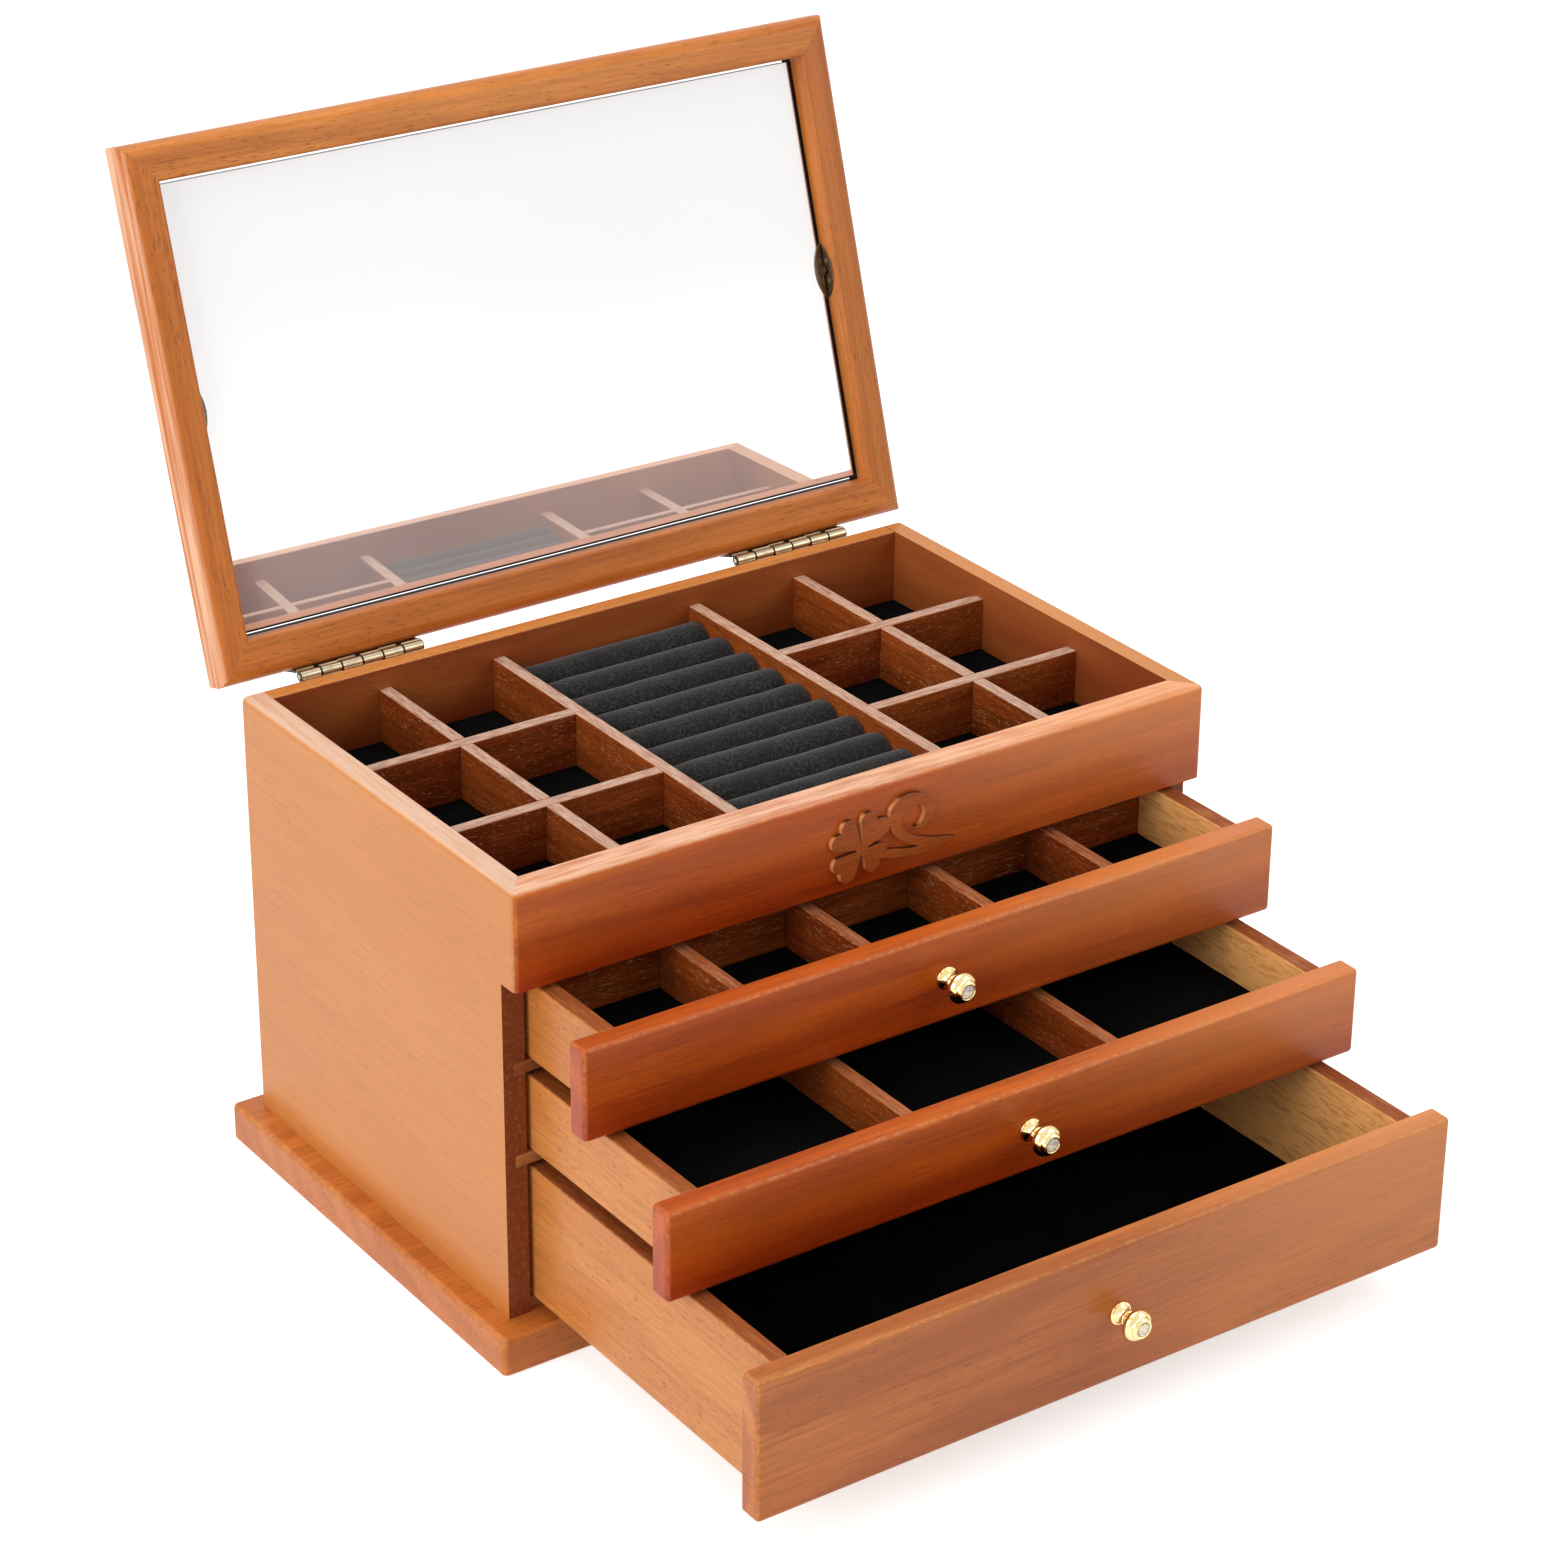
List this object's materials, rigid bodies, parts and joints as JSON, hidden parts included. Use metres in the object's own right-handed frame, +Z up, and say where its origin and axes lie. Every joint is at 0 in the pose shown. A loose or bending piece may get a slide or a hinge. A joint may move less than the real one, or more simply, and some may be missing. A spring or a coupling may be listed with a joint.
{
  "type": "jewellery box",
  "caption": "Wooden jewellery box on a ledged base, with a divided tray and ring rolls under a hinged lid that holds a swivelling mirror, above sliding drawers with brass knobs.",
  "frame": {"origin": "centre of the base board's underside", "axes": "+Z up, -Y towards the user with the drawer knobs, +X to the user's right; the lid is hinged along X at the rear (+Y)"},
  "size_m": [0.3074, 0.4128, 0.367],
  "materials": {
    "stained_wood": "satin lacquer, red-brown",
    "inner_wood": "thin satin lacquer",
    "backing_board": "matt thin board",
    "black_felt": "short felt",
    "black_velvet": "soft velvet",
    "antique_brass": "antique",
    "polished_brass": "polished",
    "clear_stone": "cut and clear",
    "mirror_glass": "silvered glass"
  },
  "bodies": {
    "case": {"base_board": "stained_wood", "side_panel_left": "stained_wood", "side_panel_right": "stained_wood", "back_panel": "stained_wood", "front_apron": "stained_wood", "clover_ornament": "stained_wood", "tray_floor": "inner_wood", "tray_lining": "black_felt", "tray_long_divider_left": "inner_wood", "tray_long_divider_right": "inner_wood", "tray_column_divider_left": "inner_wood", "tray_column_divider_right": "inner_wood", "tray_cross_dividers_left": "inner_wood", "tray_cross_dividers_right": "inner_wood", "ring_rolls": "black_velvet", "drawer_shelf_upper": "inner_wood", "drawer_shelf_middle": "inner_wood", "drawer_shelf_lower": "inner_wood", "hinge_leaves_case": "antique_brass", "hinge_pins": "antique_brass", "hinge_screws_case": "antique_brass"},
    "lid": {"lid_rail_front": "stained_wood", "lid_rail_rear": "stained_wood", "lid_stile_left": "stained_wood", "lid_stile_right": "stained_wood", "hinge_leaves_lid": "antique_brass", "hinge_screws_lid": "antique_brass", "mirror_pivot_plates": "antique_brass", "pivot_plate_screws": "antique_brass"},
    "mirror": {"mirror_glass": "mirror_glass", "mirror_back_board": "backing_board", "mirror_clip_left": "antique_brass", "mirror_clip_right": "antique_brass"},
    "drawer_upper": {"drawer_upper_front": "stained_wood", "drawer_upper_side_left": "inner_wood", "drawer_upper_side_right": "inner_wood", "drawer_upper_back": "inner_wood", "drawer_upper_bottom": "inner_wood", "drawer_upper_lining": "black_felt", "drawer_upper_knob": "polished_brass", "drawer_upper_knob_stone": "clear_stone", "drawer_upper_dividers": "inner_wood", "drawer_upper_partition": "inner_wood"},
    "drawer_middle": {"drawer_middle_front": "stained_wood", "drawer_middle_side_left": "inner_wood", "drawer_middle_side_right": "inner_wood", "drawer_middle_back": "inner_wood", "drawer_middle_bottom": "inner_wood", "drawer_middle_lining": "black_felt", "drawer_middle_knob": "polished_brass", "drawer_middle_knob_stone": "clear_stone", "drawer_middle_dividers": "inner_wood"},
    "drawer_lower": {"drawer_lower_front": "stained_wood", "drawer_lower_side_left": "inner_wood", "drawer_lower_side_right": "inner_wood", "drawer_lower_back": "inner_wood", "drawer_lower_bottom": "inner_wood", "drawer_lower_lining": "black_felt", "drawer_lower_knob": "polished_brass", "drawer_lower_knob_stone": "clear_stone"}
  },
  "joints": [
    {"name": "lid_hinge", "type": "hinge", "parent": "case", "child": "lid", "pos_m": [0, 0.09178, 0.1817], "axis": [1, 0, 0], "range_deg": [0, 107.2]},
    {"name": "mirror_swivel", "type": "hinge", "parent": "lid", "child": "mirror", "pos_m": [0, 0.12911, 0.27407], "axis": [1, 0, 0], "continuous": true},
    {"name": "drawer_upper_slide", "type": "slide", "parent": "case", "child": "drawer_upper", "axis": [0, -1, 0], "range_m": [-0.0416, 0.0989]},
    {"name": "drawer_middle_slide", "type": "slide", "parent": "case", "child": "drawer_middle", "axis": [0, -1, 0], "range_m": [-0.0897, 0.0508]},
    {"name": "drawer_lower_slide", "type": "slide", "parent": "case", "child": "drawer_lower", "axis": [0, -1, 0], "range_m": [-0.1405, 0]}
  ]
}
